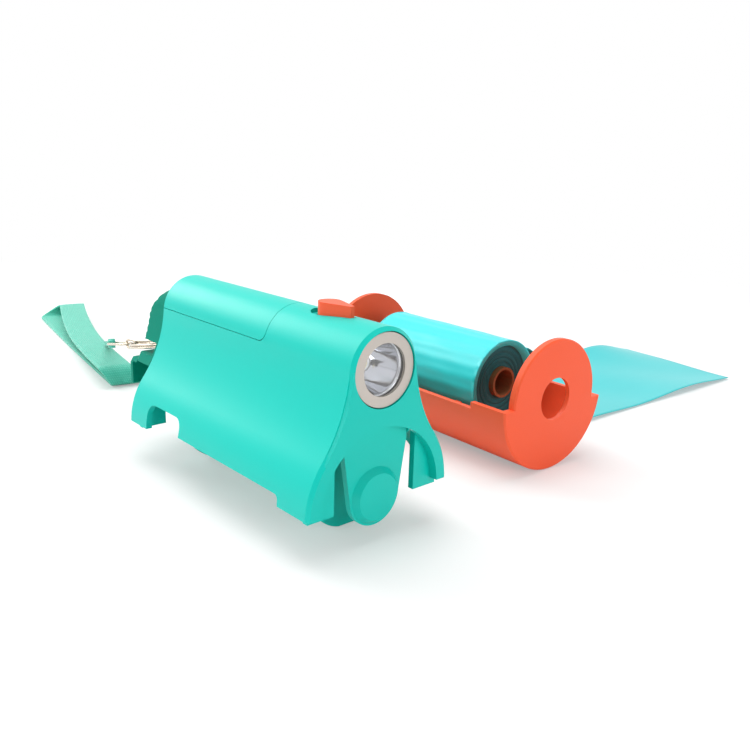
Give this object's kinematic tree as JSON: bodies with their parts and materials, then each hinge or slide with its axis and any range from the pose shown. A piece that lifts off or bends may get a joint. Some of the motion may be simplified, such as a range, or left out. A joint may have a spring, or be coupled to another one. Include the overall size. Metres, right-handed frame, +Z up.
{
  "type": "dog poop bag dispenser",
  "caption": "Handheld dispenser for bag rolls with a built-in torch on top, snap latches at both ends, a drop-in roll tray and a wrist strap.",
  "frame": {"origin": "middle of the front roll guide's flat foot, on the surface that the part stands on", "axes": "+X forward along the housing to the torch, +Y to the roll tray, +Z up"},
  "size_m": [0.3387, 0.2736, 0.0632],
  "materials": {
    "teal_plastic": "satin moulded",
    "dark_teal_plastic": "satin moulded",
    "orange_plastic": "satin moulded",
    "black_plastic": "matte",
    "bezel_metal": "satin",
    "seal_rubber": "matte",
    "lens_clear": "clear polished",
    "mirror_coat": "mirror",
    "led_yellow": "clear dome on phosphor",
    "board_green": "matte",
    "nickel": "plated",
    "cell_sleeve": "gloss sleeve",
    "steel": "nickel plated",
    "webbing": "satin webbing",
    "bag_film": "thin soft film",
    "card": "card"
  },
  "bodies": {
    "housing": {"main_housing": "teal_plastic", "front_end_panel": "teal_plastic", "rear_end_panel": "teal_plastic", "front_roll_guide": "teal_plastic", "rear_roll_guide": "teal_plastic", "rear_cap": "dark_teal_plastic", "ring_pin": "steel", "switch_body": "black_plastic", "bezel_ring": "bezel_metal", "lens_seal": "seal_rubber", "lens": "lens_clear", "reflector": "mirror_coat", "led_emitter": "led_yellow", "led_board": "board_green", "front_contact": "nickel", "battery_cell": "cell_sleeve", "contact_spring": "nickel"},
    "front_latch": {"front_latch": "teal_plastic"},
    "rear_latch": {"rear_latch": "teal_plastic"},
    "battery_cover": {"battery_cover": "teal_plastic"},
    "switch_slider": {"switch_slider": "orange_plastic"},
    "ring": {"split_ring": "steel"},
    "links": {"swivel_link": "steel", "strap_link": "steel"},
    "strap": {"strap_tab": "webbing", "wrist_strap": "webbing"},
    "tray": {"roll_tray": "orange_plastic", "bag_tail": "bag_film"},
    "roll": {"bag_roll": "bag_film", "roll_core": "card"}
  },
  "joints": [
    {"name": "front_latch_press", "type": "hinge", "parent": "housing", "child": "front_latch", "pos_m": [0.01305, 0, 0.0337], "axis": [0, 1, 0], "range_deg": [0, 7], "stiffness_Nm_per_rad": 0.5},
    {"name": "rear_latch_press", "type": "hinge", "parent": "housing", "child": "rear_latch", "pos_m": [-0.08075, 0, 0.0337], "axis": [0, -1, 0], "range_deg": [0, 7], "stiffness_Nm_per_rad": 0.5},
    {"name": "battery_cover_lift", "type": "slide", "parent": "housing", "child": "battery_cover", "axis": [0, 0, 1], "range_m": [0, 0.03]},
    {"name": "torch_switch", "type": "slide", "parent": "housing", "child": "switch_slider", "axis": [-1, 0, 0], "range_m": [0, 0.0025]},
    {"name": "ring_swing", "type": "hinge", "parent": "housing", "child": "ring", "pos_m": [-0.0889, -0.01, 0.0359], "axis": [0, 0, 1], "range_deg": [-25, 25]},
    {"name": "link_swing", "type": "hinge", "parent": "ring", "child": "links", "pos_m": [-0.11052, -0.01, 0.03185], "axis": [0, 1, 0], "range_deg": [-12, 12]},
    {"name": "strap_swing", "type": "hinge", "parent": "links", "child": "strap", "pos_m": [-0.12988, -0.01, 0.02823], "axis": [0, 1, 0], "range_deg": [-15, 30]},
    {"name": "tray_lift", "type": "slide", "parent": "housing", "child": "tray", "axis": [0, 0, 1], "range_m": [0, 0.07]},
    {"name": "roll_spin", "type": "hinge", "parent": "tray", "child": "roll", "pos_m": [-0.03836, 0.08301, 0.0249], "axis": [0.9992, -0.0401, 0], "continuous": true}
  ]
}
